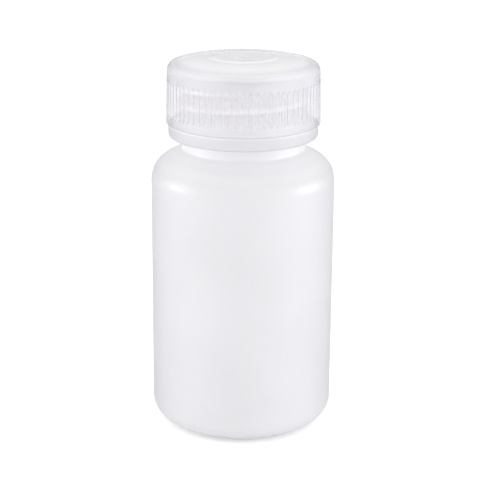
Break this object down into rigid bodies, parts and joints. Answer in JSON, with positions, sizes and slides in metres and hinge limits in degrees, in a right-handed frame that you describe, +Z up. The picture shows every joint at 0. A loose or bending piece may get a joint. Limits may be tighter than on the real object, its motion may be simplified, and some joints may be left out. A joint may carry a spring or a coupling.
{
  "type": "reagent bottle",
  "caption": "Wide-mouth translucent plastic reagent bottle with a ringed neck, a fluted screw cap and a seal liner; the cap unscrews along its thread and comes off.",
  "frame": {"origin": "centre of the base on the standing plane", "axes": "+Z up along the bottle's axis; -Y faces the camera of the picture"},
  "size_m": [0.048, 0.048, 0.0987],
  "materials": {
    "bottle_plastic": "milky translucent polypropylene with a satin skin",
    "liner_foam": "white closed-cell polyethylene foam",
    "cap_plastic": "clear polypropylene with a faint lavender tint"
  },
  "bodies": {
    "bottle": {"bottle": "bottle_plastic"},
    "liner": {"seal_liner": "liner_foam"},
    "cap": {"screw_cap": "cap_plastic"}
  },
  "joints": [
    {"name": "cap_rise", "type": "slide", "parent": "bottle", "child": "liner", "axis": [0, 0, 1], "range_m": [0, 0.01694]},
    {"name": "cap_turn", "type": "hinge", "parent": "liner", "child": "cap", "pos_m": [0, 0, 0.0963], "axis": [0, 0, 1], "range_deg": [0, 1440]}
  ],
  "couplings": [
    {"joint": "cap_rise", "follows": "cap_turn", "m_per_rad": 0.0006737}
  ]
}
